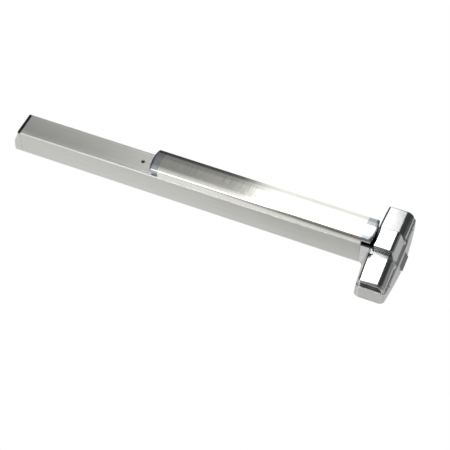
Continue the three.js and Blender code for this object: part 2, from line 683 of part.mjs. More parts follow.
function latchSpringSeat() {
  const wall = box([LATCH_SEAT_X - 2.4, LATCH_SEAT_X], [-19.4, CHASSIS_SEAT_Y], [-20, 20]);
  const foot = box([LATCH_SEAT_X - 2.4, LATCH_SEAT_X + 10],
    [CHASSIS_SEAT_Y - 2.2, CHASSIS_SEAT_Y], [-20, 20]);
  const window = box([LATCH_SEAT_X - 4, LATCH_SEAT_X + 2], [-22, -7.5], [-9.2, 9.2]);
  return combine([wall, foot], [window]);
}

const latchSpring = (side) => coilSpring({
  radius: 3.4, wire: 0.6, turns: 7, y: -11, z: side * 14.6,
  from: LATCH_SEAT_X + GAP, to: BOLT.left - GAP,
});

// ---------------------------------------------------------------- assembly
add('mechanism_case', caseChannel(), 'aluminium');
add('case_cover_plate', caseCoverPlate(), 'aluminium');
add('end_cap', endCap(), 'aluminium');
add('end_cap_strip', endCapStrip(), 'black');
add('end_cap_bracket', endCapBracket(), 'steel');
add('end_cap_screw_upper', endCapScrew(END_SCREW.z), 'stainless');
add('end_cap_screw_lower', endCapScrew(-END_SCREW.z), 'stainless');
add('mechanism_baseplate', mechanismBaseplate(), 'steel');

add('push_pad', pushPad(), 'padAluminium');
add('pad_end_cap_left', padEndCap(PAD_LEFT - GAP, PAD_CAP_TIP.left, PAD_CAP_SAG.left), 'castCap');
add('pad_end_cap_right', padEndCap(PAD_RIGHT + GAP, PAD_CAP_TIP.right, PAD_CAP_SAG.right), 'castCap');

for (const [side, pivotX] of Object.entries(CRANK_X)) {
  add(`crank_bracket_${side}`, crankBracket(pivotX), 'steel');
  add(`crank_pivot_pin_${side}`, crankPin(pivotX), 'stainless');
  add(`bell_crank_${side}`, bellCrank(pivotX), 'steel');
  add(`link_pin_${side}`, linkPin(pivotX), 'stainless');
  add(`pad_bracket_${side}`, padBracket(pivotX + CRANK_REACH), 'steel');
  add(`pad_pin_${side}`, padPin(pivotX + CRANK_REACH), 'stainless');
}

add('link_bar', linkBar(), 'steel');
add('main_spring', mainSpring(), 'spring');
add('spring_anchor', springAnchor(), 'steel');
add('spring_guide_rod', springGuideRod(), 'stainless');
add('damper_body', damperBody(), 'black');
add('damper_rod', damperRod(), 'stainless');
add('dogging_hook', doggingHook(), 'steel');
add('dogging_bush', doggingBush(), 'steel');
add('dogging_catch_pin', catchPin(), 'stainless');

add('head_cover', headCover(), 'castCover');
add('head_chassis', headChassis(), 'steel');
add('latch_guide', latchGuide(), 'steel');
add('latch_bolt', latchBolt(), 'stainless');
add('latch_drive_pin', latchDrivePin(), 'stainless');
add('latch_spring_seat', latchSpringSeat(), 'steel');
add('latch_spring_upper', latchSpring(1), 'spring');
add('latch_spring_lower', latchSpring(-1), 'spring');
COVER_SCREWS.forEach((screw) => add(`cover_screw_${screw.name}`, coverScrew(screw), 'stainless'));

export default part;
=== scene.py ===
"""Panic exit bar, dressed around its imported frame. Metres; +X to the latch, -Y out of the door, +Z up."""

import json
import math

import bpy
import bmesh
import numpy as np
from mathutils import Matrix, Vector


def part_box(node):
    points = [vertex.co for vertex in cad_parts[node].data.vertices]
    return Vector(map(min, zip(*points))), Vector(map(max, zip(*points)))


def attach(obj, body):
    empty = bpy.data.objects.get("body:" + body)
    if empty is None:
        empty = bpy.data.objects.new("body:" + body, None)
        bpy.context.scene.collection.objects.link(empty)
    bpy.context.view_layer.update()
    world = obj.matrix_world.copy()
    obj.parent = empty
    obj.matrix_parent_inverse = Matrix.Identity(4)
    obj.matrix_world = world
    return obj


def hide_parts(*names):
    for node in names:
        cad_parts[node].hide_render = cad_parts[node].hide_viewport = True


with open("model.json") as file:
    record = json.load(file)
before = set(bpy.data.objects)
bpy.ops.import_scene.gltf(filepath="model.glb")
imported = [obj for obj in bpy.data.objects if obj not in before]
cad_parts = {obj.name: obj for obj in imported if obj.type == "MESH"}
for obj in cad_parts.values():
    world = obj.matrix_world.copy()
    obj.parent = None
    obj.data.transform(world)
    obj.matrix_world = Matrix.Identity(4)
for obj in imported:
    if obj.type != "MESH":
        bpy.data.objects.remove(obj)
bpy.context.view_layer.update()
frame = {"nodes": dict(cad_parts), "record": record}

# Driving dimensions in millimetres. The door's face is Y = 0, so a height off the door is -Y.
MM = 0.001
SEAM = 0.1

CASE_HALF = 28.575
CASE_DEPTH = 57.15
CASE_WALL = 3.2
CASE_CORNER = 3.5
CASE_LIP = 5.0
CASE_LEDGE = 1.6
LEDGE_THICKNESS = 2.0
PLATE_THICKNESS = 2.8
PLATE_EDGE = 0.35
KEY_HOLE_X = -531.0
KEY_HOLE_RADIUS = 3.6
KEY_HOLE_FLARE = 0.7
BROKEN_EDGE = 0.4

END_CAP_STRAIGHT_Y = -17.0
END_CAP_CONTROL_Y = -27.0
END_CAP_BEND = (-813.6, -40.0)
END_CAP_FRONT_X = -808.8

PAD_HALF = 28.6
PAD_EDGE_Y = -76.0
PAD_CROWN_Y = -84.5
PAD_UNDER_Y = -58.2
PAD_WALL = 2.2
PAD_TURN = 1.9
PAD_CROWN_POWER = 2.3
PAD_SKIRT_OUTER = 21.2
PAD_SKIRT_INNER = 19.2
PAD_SKIRT_END_Y = -30.0
PAD_CAP_UNDER_Y = -67.5
PAD_CAP_WALL = 2.0
PAD_CAP_RIM = 1.2
LEFT_CAP_BOW = 1.6
RIGHT_CAP_BOW = 3.3

HEAD_WALL = 3.0
HEAD_LEFT = -48.0
HEAD_RIGHT = 29.4
SKIRT_HEIGHT = 25.0
SKIRT_BASE_HALF = 40.5
SKIRT_TOP_HALF = 31.6
SKIRT_END = 110.5
LOBE_HEIGHT = 46.4
LOBE_LEFT = -31.2
LOBE_OUTER = 103.6
LOBE_INNER = 30.0
BRIDGE_HEIGHT = 63.4
BRIDGE_HALF = 33.8
BRIDGE_LEFT = -30.0
NECK_RIGHT = -22.0
BAY_CENTRE_X = -222.0
BAY_RADIUS = 200.0
LATCH_MOUTH_HALF = 20.3
LATCH_MOUTH_Y = -17.4
LATCH_MOUTH_LEFT = 22.0
COVER_SCREW_Y = -20.0
COVER_SCREW_Z = 77.0
SCREW_HOLE_RADIUS = 2.3
SCREW_SINK_RADIUS = 3.2
SCREW_SINK_X = 30.2
HEAD_GRID_LOW = (-51, -66, -113)
HEAD_GRID_HIGH = (43, 3, 113)
HEAD_GRID_STEP = 0.9

# The photo's view: the place in metres, then what is right, down and ahead in the picture.
CAMERA_PLACE = (0.25846, -1.99557, -1.53306)
CAMERA_RIGHT = (0.92369485, -0.01381582, 0.3828798)
CAMERA_DOWN = (0.30686262, 0.62503604, -0.71775016)
CAMERA_AHEAD = (-0.22939737, 0.78047362, 0.58158213)
CAMERA_LENS = 100.167


# ---------------------------------------------------------------- camera
def make_camera():
    data = bpy.data.cameras.new("camera")
    data.sensor_width = 36.0
    data.lens = CAMERA_LENS
    data.clip_start = 0.05
    data.clip_end = 60.0
    camera = bpy.data.objects.new("camera", data)
    bpy.context.collection.objects.link(camera)
    axes = (Vector(CAMERA_RIGHT), -Vector(CAMERA_DOWN), -Vector(CAMERA_AHEAD))
    turn = Matrix(axes).transposed().to_4x4()
    camera.matrix_world = Matrix.Translation(CAMERA_PLACE) @ turn
    bpy.context.scene.camera = camera


# ---------------------------------------------------------------- node helpers
class Nodes:
    """Short names for building one node tree."""

    def __init__(self, tree):
        self.tree = tree

    def add(self, kind, inputs=None, **settings):
        """A new node with its settings, and its inputs linked to sockets or given values."""
        node = self.tree.nodes.new(kind)
        for key, value in settings.items():
            setattr(node, key, value)
        for key, value in (inputs or {}).items():
            self.set(node, key, value)
        return node

    def set(self, node, key, value):
        """Links a socket to an input, or gives the input a fixed value."""
        if isinstance(value, bpy.types.NodeSocket):
            self.tree.links.new(value, node.inputs[key])
        else:
            node.inputs[key].default_value = value

    def math(self, operation, a, b):
        return self.add("ShaderNodeMath", {0: a, 1: b}, operation=operation).outputs[0]

    def remap(self, value, low, high, to_low, to_high, smooth=False):
        kind = "SMOOTHSTEP" if smooth else "LINEAR"
        inputs = {"Value": value, "From Min": low, "From Max": high, "To Min": to_low, "To Max": to_high}
        return self.add("ShaderNodeMapRange", inputs, interpolation_type=kind).outputs["Result"]

    def noise(self, place, scale, detail=4.0, roughness=0.55):
        inputs = {"Vector": place, "Scale": scale, "Detail": detail, "Roughness": roughness}
        return self.add("ShaderNodeTexNoise", inputs).outputs["Fac"]

    def stretched(self, place, scale):
        return self.add("ShaderNodeMapping", {"Vector": place, "Scale": scale}).outputs["Vector"]

    def split(self, vector):
        return self.add("ShaderNodeSeparateXYZ", {"Vector": vector}).outputs

    def mix(self, factor, a, b):
        """A mix of two colours, which this node numbers 6 and 7, into its output 2."""
        return self.add("ShaderNodeMix", {0: factor, 6: a, 7: b}, data_type="RGBA").outputs[2]

    def mix_values(self, factor, a, b):
        return self.add("ShaderNodeMix", {0: factor, 2: a, 3: b}, data_type="FLOAT").outputs[0]

    def bump(self, height, strength, distance):
        inputs = {"Height": height, "Strength": strength, "Distance": distance}
        return self.add("ShaderNodeBump", inputs).outputs["Normal"]


def new_material(name):
    material = bpy.data.materials.new(name)
    material.use_nodes = True
    tree = material.node_tree
    tree.nodes.clear()
    nodes = Nodes(tree)
    shader = nodes.add("ShaderNodeBsdfPrincipled")
    output = nodes.add("ShaderNodeOutputMaterial")
    tree.links.new(shader.outputs["BSDF"], output.inputs["Surface"])
    place = nodes.add("ShaderNodeTexCoord").outputs["Object"]
    return material, nodes, shader, place


def shade(value):
    """A base colour with four parts from a grey or an (r, g, b)."""
    return (*value, 1.0) if isinstance(value, tuple) else (value, value, value, 1.0)


# ---------------------------------------------------------------- materials
# The range that nearly all values of a noise lie in, and the depth in metres of fine grain.
NOISE_RANGE = (0.3, 0.7)
GRAIN_DEPTH = 0.0002
CAST_DEPTH = 0.0006

# The scale of a noise by axis: a small share draws its grain out along that axis.
ALONG_X = (0.02, 1.0, 1.0)
ALONG_Z = (1.0, 1.0, 0.03)
SHORT_ALONG_Z = (1.0, 1.0, 0.3)
ACROSS_Z = (1.0, 1.0, 6.0)
EVEN = (1.0, 1.0, 1.0)


def worked_metal(name, dark, light, rough, grain, bump, grain_scale=220.0, cloud=9.0):
    """Metal with grain drawn out along one axis, a slow cloud of dirt and varied gloss."""
    material, nodes, shader, place = new_material(name)
    grain_noise = nodes.noise(nodes.stretched(place, grain), grain_scale, 6.0, 0.6)
    clouds = nodes.noise(place, cloud, 3.0)
    both = nodes.math("ADD", nodes.math("MULTIPLY", grain_noise, 0.6), nodes.math("MULTIPLY", clouds, 0.4))
    nodes.set(shader, "Base Color", nodes.mix(nodes.remap(both, 0.35, 0.65, 0, 1), shade(dark), shade(light)))
    nodes.set(shader, "Roughness", nodes.remap(both, *NOISE_RANGE, *rough))
    nodes.set(shader, "Normal", nodes.bump(grain_noise, bump, GRAIN_DEPTH))
    shader.inputs["Metallic"].default_value = 1.0
    return material


def painted_cap_shade(nodes, sides):
    """1 on the neck and the bay's wall under the bar's right cap, which get painted shade for the cap's
    shadow, and 0 elsewhere.
    """
    beside = nodes.remap(sides["X"], -0.0214, -0.0208, 1.0, 0.0, smooth=True)
    above_neck = nodes.remap(sides["Y"], -0.0555, -0.0535, 1.0, 0.0, smooth=True)
    below_face = nodes.remap(sides["Y"], -0.063, -0.0625, 0.0, 1.0, smooth=True)
    return nodes.math("MULTIPLY", beside, nodes.math("MULTIPLY", above_neck, below_face))


def cast_cover_metal():
    """Polished raised faces over a satin skirt, and painted shade, near black, on the neck and the bay's wall
    for the shadow under the bar's cap.
    """
    material, nodes, shader, place = new_material("polished_casting")
    sides = nodes.split(place)
    raised = nodes.remap(sides["Y"], -0.0262, -0.0246, 1.0, 0.0, smooth=True)
    ripple = nodes.noise(place, 60.0, 3.0)
    fine = nodes.noise(nodes.stretched(place, ACROSS_Z), 700.0, 5.0)
    satin = nodes.remap(fine, *NOISE_RANGE, 0.3, 0.42)
    polish = nodes.remap(ripple, *NOISE_RANGE, 0.13, 0.19)
    nodes.set(shader, "Roughness", nodes.mix_values(raised, satin, polish))
    tint = nodes.remap(ripple, *NOISE_RANGE, 0.0, 1.0)
    satin_tone = nodes.mix(tint, shade((0.9, 0.91, 0.89)), shade((0.96, 0.965, 0.94)))
    polish_tone = nodes.mix(tint, shade((0.7, 0.72, 0.72)), shade((0.78, 0.79, 0.785)))
    worked = nodes.mix(raised, satin_tone, polish_tone)
    # Painted shade: near-black colour on the neck and the bay's wall stands in for the shadow under the bar's
    # right cap.
    nodes.set(shader, "Base Color", nodes.mix(painted_cap_shade(nodes, sides), worked, shade(0.04)))
    relief = nodes.math("ADD", nodes.math("MULTIPLY", ripple, 0.8), nodes.math("MULTIPLY", fine, 0.06))
    nodes.set(shader, "Normal", nodes.bump(relief, 0.12, CAST_DEPTH))
    shader.inputs["Metallic"].default_value = 1.0
    return material


def moulded(name, dark, light, rough):
    """Dull rubber or plastic with a fine moulded texture."""
    material, nodes, shader, place = new_material(name)
    grain = nodes.noise(place, 900.0)
    nodes.set(shader, "Base Color", nodes.mix(grain, shade(dark), shade(light)))
    nodes.set(shader, "Roughness", nodes.remap(grain, *NOISE_RANGE, *rough))
    nodes.set(shader, "Normal", nodes.bump(grain, 0.25, GRAIN_DEPTH))
    return material


def make_materials():
    """One material for each slot of the record."""
    return {
        "case_aluminium": worked_metal(
            "satin_aluminium", (0.78, 0.785, 0.745), (0.86, 0.86, 0.825), (0.3, 0.38), ALONG_X, 0.06),
        "pad_aluminium": worked_metal(
            "pad_aluminium", (0.76, 0.755, 0.7), (0.92, 0.915, 0.86), (0.07, 0.1), ALONG_Z, 0.03, 420.0),
        "pad_cap_metal": worked_metal(
            "pad_cap_metal", (0.47, 0.51, 0.53), (0.53, 0.565, 0.58), (0.13, 0.17), EVEN, 0.02, 500.0),
        "polished_cover": cast_cover_metal(),
        "zinc_steel": worked_metal(
            "zinc_steel", (0.5, 0.5, 0.48), (0.66, 0.67, 0.66), (0.34, 0.5), SHORT_ALONG_Z, 0.2, 260.0, 30.0),
        "stainless_steel": worked_metal(
            "stainless_steel", (0.6, 0.6, 0.6), (0.74, 0.74, 0.73), (0.2, 0.32), ALONG_Z, 0.1, 500.0, 40.0),
        "spring_steel": worked_metal(
            "spring_wire", (0.34, 0.34, 0.35), (0.5, 0.5, 0.5), (0.25, 0.38), EVEN, 0.1, 900.0, 60.0),
        "black_rubber": moulded(
            "black_rubber", (0.012, 0.012, 0.013), (0.024, 0.024, 0.026), (0.5, 0.65)),
        "black_plastic": moulded(
            "black_plastic", (0.015, 0.015, 0.016), (0.03, 0.03, 0.032), (0.42, 0.55)),
    }


# ---------------------------------------------------------------- mesh helpers
def finish_piece(name, mesh, body, slot, nodes, sharp=35.0):
    """Makes a mesh in millimetres a piece of the model, with edges over sharp degrees crisp."""
    mesh.transform(Matrix.Scale(MM, 4))
    mesh.validate()
    for polygon in mesh.polygons:
        polygon.use_smooth = True
    if sharp:
        mesh.set_sharp_from_angle(angle=math.radians(sharp))
    piece = bpy.data.objects.new(name, mesh)
    bpy.context.collection.objects.link(piece)
    piece.data.materials.append(MATERIALS[slot])
    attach(piece, body)
    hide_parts(*nodes)
    return piece


def keep_rims_sharp(mesh):
    """Marks a skin's open edges as sharp, so the wall added behind it has a crisp rim."""
    work = bmesh.new()
    work.from_mesh(mesh)
    for edge in work.edges:
        edge.smooth = edge.smooth and not edge.is_boundary
    work.to_mesh(mesh)
    work.free()


def bevel(piece, width):
    edge = piece.modifiers.new("edges", "BEVEL")
    edge.width = width * MM
    edge.segments = 3
    edge.limit_method = "ANGLE"
    edge.angle_limit = math.radians(40.0)
    edge.harden_normals = True


def in_mm(box):
    """The lowest and the highest corner of one of the frame's boxes, in millimetres."""
    return [[value / MM for value in corner] for corner in box]


def arc(centre, radius, start, end, steps=8):
    """Points on an arc, angles in degrees."""
    angles = np.radians(np.linspace(start, end, steps + 1))
    return [(centre[0] + radius * math.cos(a), centre[1] + radius * math.sin(a)) for a in angles]


def curve_points(start, control, end, steps):
    """Points on a quadratic curve, without its first one."""
    t = np.linspace(0, 1, steps + 1)[1:, None]
    a, b, c = (np.array(p, float) for p in (start, control, end))
    return [tuple(p) for p in (1 - t) ** 2 * a + 2 * t * (1 - t) * b + t ** 2 * c]


def join_rings(work, a, b):
    """A band of faces between two closed rings of vertices."""
    for i in range(len(a)):
        j = (i + 1) % len(a)
        work.faces.new((a[i], a[j], b[j], b[i]))


def fill_between(work, rim, opening):
    """A flat face between a closed ring and the hole inside it."""
    sides = [pair for ring in (rim, opening) for pair in zip(ring, ring[1:] + ring[:1])]
    edges = [work.edges.get(side) or work.edges.new(side) for side in sides]
    bmesh.ops.triangle_fill(work, edges=edges, use_beauty=True)


def mesh_of(work, name):
    """The finished mesh of a bmesh, with its normals outwards."""
    bmesh.ops.recalc_face_normals(work, faces=work.faces)
    mesh = bpy.data.meshes.new(name)
    work.to_mesh(mesh)
    work.free()
    return mesh


def prism(name, outline, low, high, place):
    """A closed outline carried from low to high; place(a, b, c) puts it in (x, y, z)."""
    work = bmesh.new()
    near = [work.verts.new(place(a, b, low)) for a, b in outline]
    far = [work.verts.new(place(a, b, high)) for a, b in outline]
    join_rings(work, near, far)
    work.faces.new(near)
    work.faces.new(far[::-1])
    return mesh_of(work, name)


def along_x(y, z, x):
    return (x, y, z)


def along_z(x, y, z):
    return (x, y, z)


# ---------------------------------------------------------------- case and end cap
def case_outline():
    """The channel's section as (y, z): its upper half, then the same mirrored below."""
    front = -CASE_DEPTH
    inside = CASE_HALF - CASE_WALL
    lip_inner = CASE_HALF - CASE_LIP
    lip_back = front + PLATE_THICKNESS
    ledge_inner = lip_inner - CASE_LEDGE
    ledge_back = lip_back + LEDGE_THICKNESS
    upper = [
        (-CASE_WALL, 0), (-CASE_WALL, inside), (ledge_back, inside), (ledge_back, ledge_inner),
        (lip_back, ledge_inner), (lip_back, lip_inner),
        (front + BROKEN_EDGE, lip_inner), (front, lip_inner + BROKEN_EDGE),
        *arc((front + CASE_CORNER, CASE_HALF - CASE_CORNER), CASE_CORNER, 180, 90),
        (-BROKEN_EDGE, CASE_HALF), (0, CASE_HALF - BROKEN_EDGE),
    ]
    lower = [(y, -z) for y, z in upper[1:]][::-1]
    return upper + lower


def make_case():
    low, high = in_mm(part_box("mechanism_case"))
    mesh = prism("channel_case", case_outline(), low[0], high[0], along_x)
    finish_piece("channel_case", mesh, "door_fixed", "case_aluminium", ["mechanism_case"])


def make_cover_plate():
    """A flat plate with a broken front edge and a flared hole for the dogging key."""
    (left, front, _), (right, back, half) = in_mm(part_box("case_cover_plate"))
    work = bmesh.new()

    def rectangle(inset, y):
        low_x, high_x = left + inset, right - inset
        low_z, high_z = inset - half, half - inset
        corners = [(low_x, low_z), (high_x, low_z), (high_x, high_z), (low_x, high_z)]
        return [work.verts.new((x, y, z)) for x, z in corners]

    def circle(radius, y):
        angles = np.linspace(0, 2 * math.pi, 32, endpoint=False)
        points = [(KEY_HOLE_X + radius * math.cos(a), radius * math.sin(a)) for a in angles]
        return [work.verts.new((x, y, z)) for x, z in points]

    rims = [rectangle(PLATE_EDGE, front), rectangle(0, front + PLATE_EDGE), rectangle(0, back)]
    holes = [
        circle(KEY_HOLE_RADIUS + KEY_HOLE_FLARE, front),
        circle(KEY_HOLE_RADIUS, front + KEY_HOLE_FLARE),
        circle(KEY_HOLE_RADIUS, back),
    ]
    for rings in (rims, holes):
        join_rings(work, rings[0], rings[1])
        join_rings(work, rings[1], rings[2])
    fill_between(work, rims[0], holes[0])
    fill_between(work, rims[2], holes[2])
    mesh = mesh_of(work, "cover_plate")
    finish_piece("cover_plate", mesh, "door_fixed", "case_aluminium", ["case_cover_plate"], 25.0)


def make_end_cap():
    """The section, as (x, y), goes straight off the door, curves in and slants to the front."""
    (face, front, _), (joint, _, _) = in_mm(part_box("end_cap"))
    straight_end = (face, END_CAP_STRAIGHT_Y)
    outline = [
        (joint, 0), (face, 0), straight_end,
        *curve_points(straight_end, (face, END_CAP_CONTROL_Y), END_CAP_BEND, 10),
        (END_CAP_FRONT_X, front), (joint, front),
    ]
    mesh = prism("end_cap_shell", outline, -CASE_HALF, CASE_HALF, along_z)
    piece = finish_piece("end_cap_shell", mesh, "door_fixed", "case_aluminium", ["end_cap"], 30.0)
    bevel(piece, 0.9)


def make_end_strip():
    (left, front, _), (right, back, _) = in_mm(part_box("end_cap_strip"))
    outline = [
        (back, -CASE_HALF), (back, CASE_HALF),
        *arc((front + CASE_CORNER, CASE_HALF - CASE_CORNER), CASE_CORNER, 90, 180, 6),
        *arc((front + CASE_CORNER, CASE_CORNER - CASE_HALF), CASE_CORNER, 180, 270, 6),
    ]
    mesh = prism("end_strip", outline, left, right, along_x)
    piece = finish_piece("end_strip", mesh, "door_fixed", "black_rubber", ["end_cap_strip"], 30.0)
    bevel(piece, BROKEN_EDGE)


# ---------------------------------------------------------------- push pad
def crown_points(inset=0.0, under=PAD_UNDER_Y):
    """The pad's outer line from its lower side wall over the crown to the upper one, as (y, z)."""
    half = PAD_HALF - inset
    edge = PAD_EDGE_Y + inset
    crown = PAD_CROWN_Y + inset
    shoulder = half - PAD_TURN
    rise = edge - PAD_TURN * 0.9
    z = np.linspace(-shoulder, shoulder, 29)
    y = crown + (rise - crown) * (np.abs(z) / shoulder) ** PAD_CROWN_POWER
    top = list(zip(y, z))
    start = curve_points((edge + PAD_TURN, -half), (edge - 0.2, -half), (rise, -shoulder), 5)[:-1]
    end = [(a, -b) for a, b in start[::-1]]
    lower_wall = [(under, -half), (edge + PAD_TURN, -half)]
    upper_wall = [(edge + PAD_TURN, half), (under, half)]
    return [*lower_wall, *start, *top, *end, *upper_wall]


def pad_outline():
    """The pad's whole section: crown, side walls and the two inner skirts."""
    inner_wall = PAD_HALF - PAD_WALL
    under_edge = -78.6
    inside = [
        (PAD_UNDER_Y, inner_wall), (PAD_EDGE_Y, inner_wall), (under_edge, inner_wall - 2),
        (under_edge - 0.6, PAD_SKIRT_OUTER), (PAD_SKIRT_END_Y, PAD_SKIRT_OUTER),
        (PAD_SKIRT_END_Y, PAD_SKIRT_INNER), (under_edge - 1.2, PAD_SKIRT_INNER),
        (PAD_CROWN_Y + PAD_WALL, 6),
    ]
    return crown_points() + inside + [(y, -z) for y, z in inside[::-1]]


def make_pad():
    low, high = in_mm(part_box("push_pad"))
    mesh = prism("pad_bar", pad_outline(), low[0], high[0], along_x)
    finish_piece("pad_bar", mesh, "push_bar", "pad_aluminium", ["push_pad"], 30.0)


def pad_cap_rings(seam_x, tip_x, bow):
    """The cap's open sections from seam to tip: the x of each point, and its (y, z)."""
    side = 1.0 if tip_x > seam_x else -1.0
    section = np.array(crown_points(0.0, PAD_CAP_UNDER_Y))
    middle = np.array([(PAD_CROWN_Y + PAD_CAP_UNDER_Y) / 2, 0.0])

    def tip(z):
        return tip_x - side * bow * (z / PAD_HALF) ** 2

    rings = []
    for share in np.linspace(0, 1, 5):
        end = tip(section[:, 1]) - side * PAD_CAP_RIM
        rings.append((seam_x + (end - seam_x) * share, section))
    for angle in np.radians(np.linspace(15, 90, 6)):
        shrunk = np.array(crown_points(PAD_CAP_RIM * (1 - math.cos(angle)), PAD_CAP_UNDER_Y))
        rings.append((tip(shrunk[:, 1]) - side * PAD_CAP_RIM * (1 - math.sin(angle)), shrunk))
    last = rings[-1][1]
    for share in (0.3, 0.6, 0.9):
        pulled = last + (middle - last) * share
        pulled[0, 0] = pulled[-1, 0] = PAD_CAP_UNDER_Y
        rings.append((tip(pulled[:, 1]), pulled))
    return rings


def make_pad_cap(name, node, seam_x, tip_x, bow):
    """A cast cap whose end bows out in plan and rolls over at its rim."""
    work = bmesh.new()
    rings = [
        [work.verts.new((x, y, z)) for x, (y, z) in zip(xs, points)]
        for xs, points in pad_cap_rings(seam_x, tip_x, bow)
    ]
    for a, b in zip(rings, rings[1:]):
        for i in range(len(a) - 1):
            work.faces.new((a[i], a[i + 1], b[i + 1], b[i]))
    work.faces.new(rings[-1])
    mesh = mesh_of(work, name)
    piece = finish_piece(name, mesh, "push_bar", "pad_cap_metal", [node], 50.0)
    wall = piece.modifiers.new("wall", "SOLIDIFY")
    wall.thickness = PAD_CAP_WALL * MM
    wall.offset = -1.0
    keep_rims_sharp(mesh)


def make_pad_caps():
    left_tip = in_mm(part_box("pad_end_cap_left"))[0][0]
    right_tip = in_mm(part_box("pad_end_cap_right"))[1][0]
    pad_low, pad_high = in_mm(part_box("push_pad"))
    make_pad_cap("pad_cap_left", "pad_end_cap_left", pad_low[0] - SEAM, left_tip, LEFT_CAP_BOW)
    make_pad_cap("pad_cap_right", "pad_end_cap_right", pad_high[0] + SEAM, right_tip, RIGHT_CAP_BOW)


# ---------------------------------------------------------------- head cover
# The head cover is a field: a signed distance in millimetres, negative inside the metal.
# height is the distance off the door and reach is the distance up or down from the middle.
def rounded_both(a, b, radius):
    """Inside both a and b, with the corner between them rounded."""
    over = np.hypot(np.maximum(a + radius, 0), np.maximum(b + radius, 0))
    return np.minimum(np.maximum(a, b), -radius) + over


def filleted_either(a, b, radius):
    """Inside a or b, with a fillet where they meet."""
    under = np.hypot(np.maximum(radius - a, 0), np.maximum(radius - b, 0))
    return np.maximum(np.minimum(a, b), radius) - under


def leaning(distance, rise, lean):
    """Distance to a wall that leans inwards by lean (a tangent) as rise grows."""
    angle = math.atan(lean)
    return distance * math.cos(angle) + rise * math.sin(angle)


def head_skirt(x, height, reach):
    """The wide satin skirt, with bowed sides that lean in up to the ledge."""
    side_cosine, end_cosine = 0.948, 0.972
    share = np.clip(height / SKIRT_HEIGHT, -0.1, 1.2)
    base = SKIRT_BASE_HALF - 0.0089 * reach ** 1.5
    ledge = SKIRT_TOP_HALF - 0.6 * (reach / 104.5) ** 2
    side = (np.abs(x) - (base + (ledge - base) * share)) * side_cosine
    end = (reach - (SKIRT_END - 6.0 * share)) * end_cosine
    return rounded_both(rounded_both(side, end, 9.0), height - SKIRT_HEIGHT, 0.6)


def head_lobes(x, height, reach, rise):
    """The two polished lobes, above and below the bridge, whose faces fall away to their ends."""
    bow = (reach / 103) ** 2
    right = leaning(x - HEAD_RIGHT + 0.6 * bow, rise, 0.3)
    left = leaning(LOBE_LEFT + 3.2 * bow - x, rise, 0.04)
    outer = leaning(reach - LOBE_OUTER, rise, 0.1)
    face = height - LOBE_HEIGHT + 0.045 * np.maximum(0, reach - LOBE_INNER) + 0.0006 * x ** 2
    section = np.maximum(rounded_both(right, face, 12.0), rounded_both(left, face, 4.0))
    return rounded_both(rounded_both(section, outer, 6.0), LOBE_INNER - reach, 3.0)


def head_bridge(x, height, reach, rise):
    """The high block between the lobes, over the end of the bar."""
    right = leaning(x - HEAD_RIGHT, rise, 11.2 / 35)
    side = leaning(reach - BRIDGE_HALF, rise, 6.8 / 35)
    section = rounded_both(right, height - BRIDGE_HEIGHT, 6.5)
    return np.maximum(rounded_both(section, side, 2.2), BRIDGE_LEFT - x)


def head_neck(x, height, reach):
    """A stub with the channel's outer section, which runs from the bridge to the case."""
    section = rounded_both(reach - CASE_HALF, height - CASE_DEPTH, CASE_CORNER)
    return np.maximum(section, x - NECK_RIGHT)


def head_shell(x, y, z):
    """The cover's outside with the bay for the bar's round end, less the hollow behind it all."""
    height, reach = -y, np.abs(z)
    rise = np.maximum(height - 24, -2)
    skirt = head_skirt(x, height, reach)
    lobes = head_lobes(x, height, reach, rise)
    bridge = head_bridge(x, height, reach, rise)
    neck = head_neck(x, height, reach)
    low = filleted_either(skirt, lobes, 0.4)
    stem = filleted_either(neck, bridge, 1.0)
    body = filleted_either(low, stem, np.interp(height, [33, 43], [8.0, 1.6]))
    closed = rounded_both(np.maximum(body, HEAD_LEFT - x), y, 0.5)
    bay = np.maximum(np.hypot(x - BAY_CENTRE_X, z) - BAY_RADIUS, y + CASE_DEPTH)
    hollow = np.minimum(np.minimum(skirt, lobes), np.minimum(bridge, neck)) + HEAD_WALL
    hollow = rounded_both(hollow, HEAD_WALL - bay, 2.0)
    return np.maximum(rounded_both(closed, -bay, 0.8), -hollow)


def latch_mouth(x, y, z):
    """The opening in the right wall that the latch comes out of."""
    return np.maximum(np.maximum(np.abs(z) - LATCH_MOUTH_HALF, LATCH_MOUTH_Y - y), LATCH_MOUTH_LEFT - x)


def screw_hole(x, y, z, screw_z):
    """A hole through both side walls, wider where the screw's head sinks in."""
    away = np.hypot(y - COVER_SCREW_Y, z - screw_z)
    sink = np.maximum(away - SCREW_SINK_RADIUS, SCREW_SINK_X - np.abs(x))
    return np.minimum(away - SCREW_HOLE_RADIUS, sink)


def head_field(x, y, z):
    """The whole head cover, with broken edges at its openings."""
    shell = rounded_both(head_shell(x, y, z), -latch_mouth(x, y, z), 0.4)
    for screw_z in (-COVER_SCREW_Z, COVER_SCREW_Z):
        shell = rounded_both(shell, -screw_hole(x, y, z, screw_z), 0.3)
    return shell


def edge_crossings(values):
    """For each cell of the grid, the sum of its edges' crossing points and their number."""
    shape = tuple(n - 1 for n in values.shape)
    total = np.zeros(shape + (3,))
    count = np.zeros(shape)
    ends = [slice(0, -1), slice(1, None)]
    for axis in range(3):
        first_side, second_side = (i for i in range(3) if i != axis)
        for u in range(2):
            for v in range(2):
                pick = [None] * 3
                pick[first_side] = ends[u]
                pick[second_side] = ends[v]
                pick[axis] = ends[0]
                near = values[tuple(pick)]
                pick[axis] = ends[1]
                far = values[tuple(pick)]
                crossed = (near < 0) != (far < 0)
                share = near / np.where(crossed, near - far, 1)
                total[..., axis] += np.where(crossed, share, 0)
                total[..., first_side] += crossed * u
                total[..., second_side] += crossed * v
                count += crossed
    return total, count


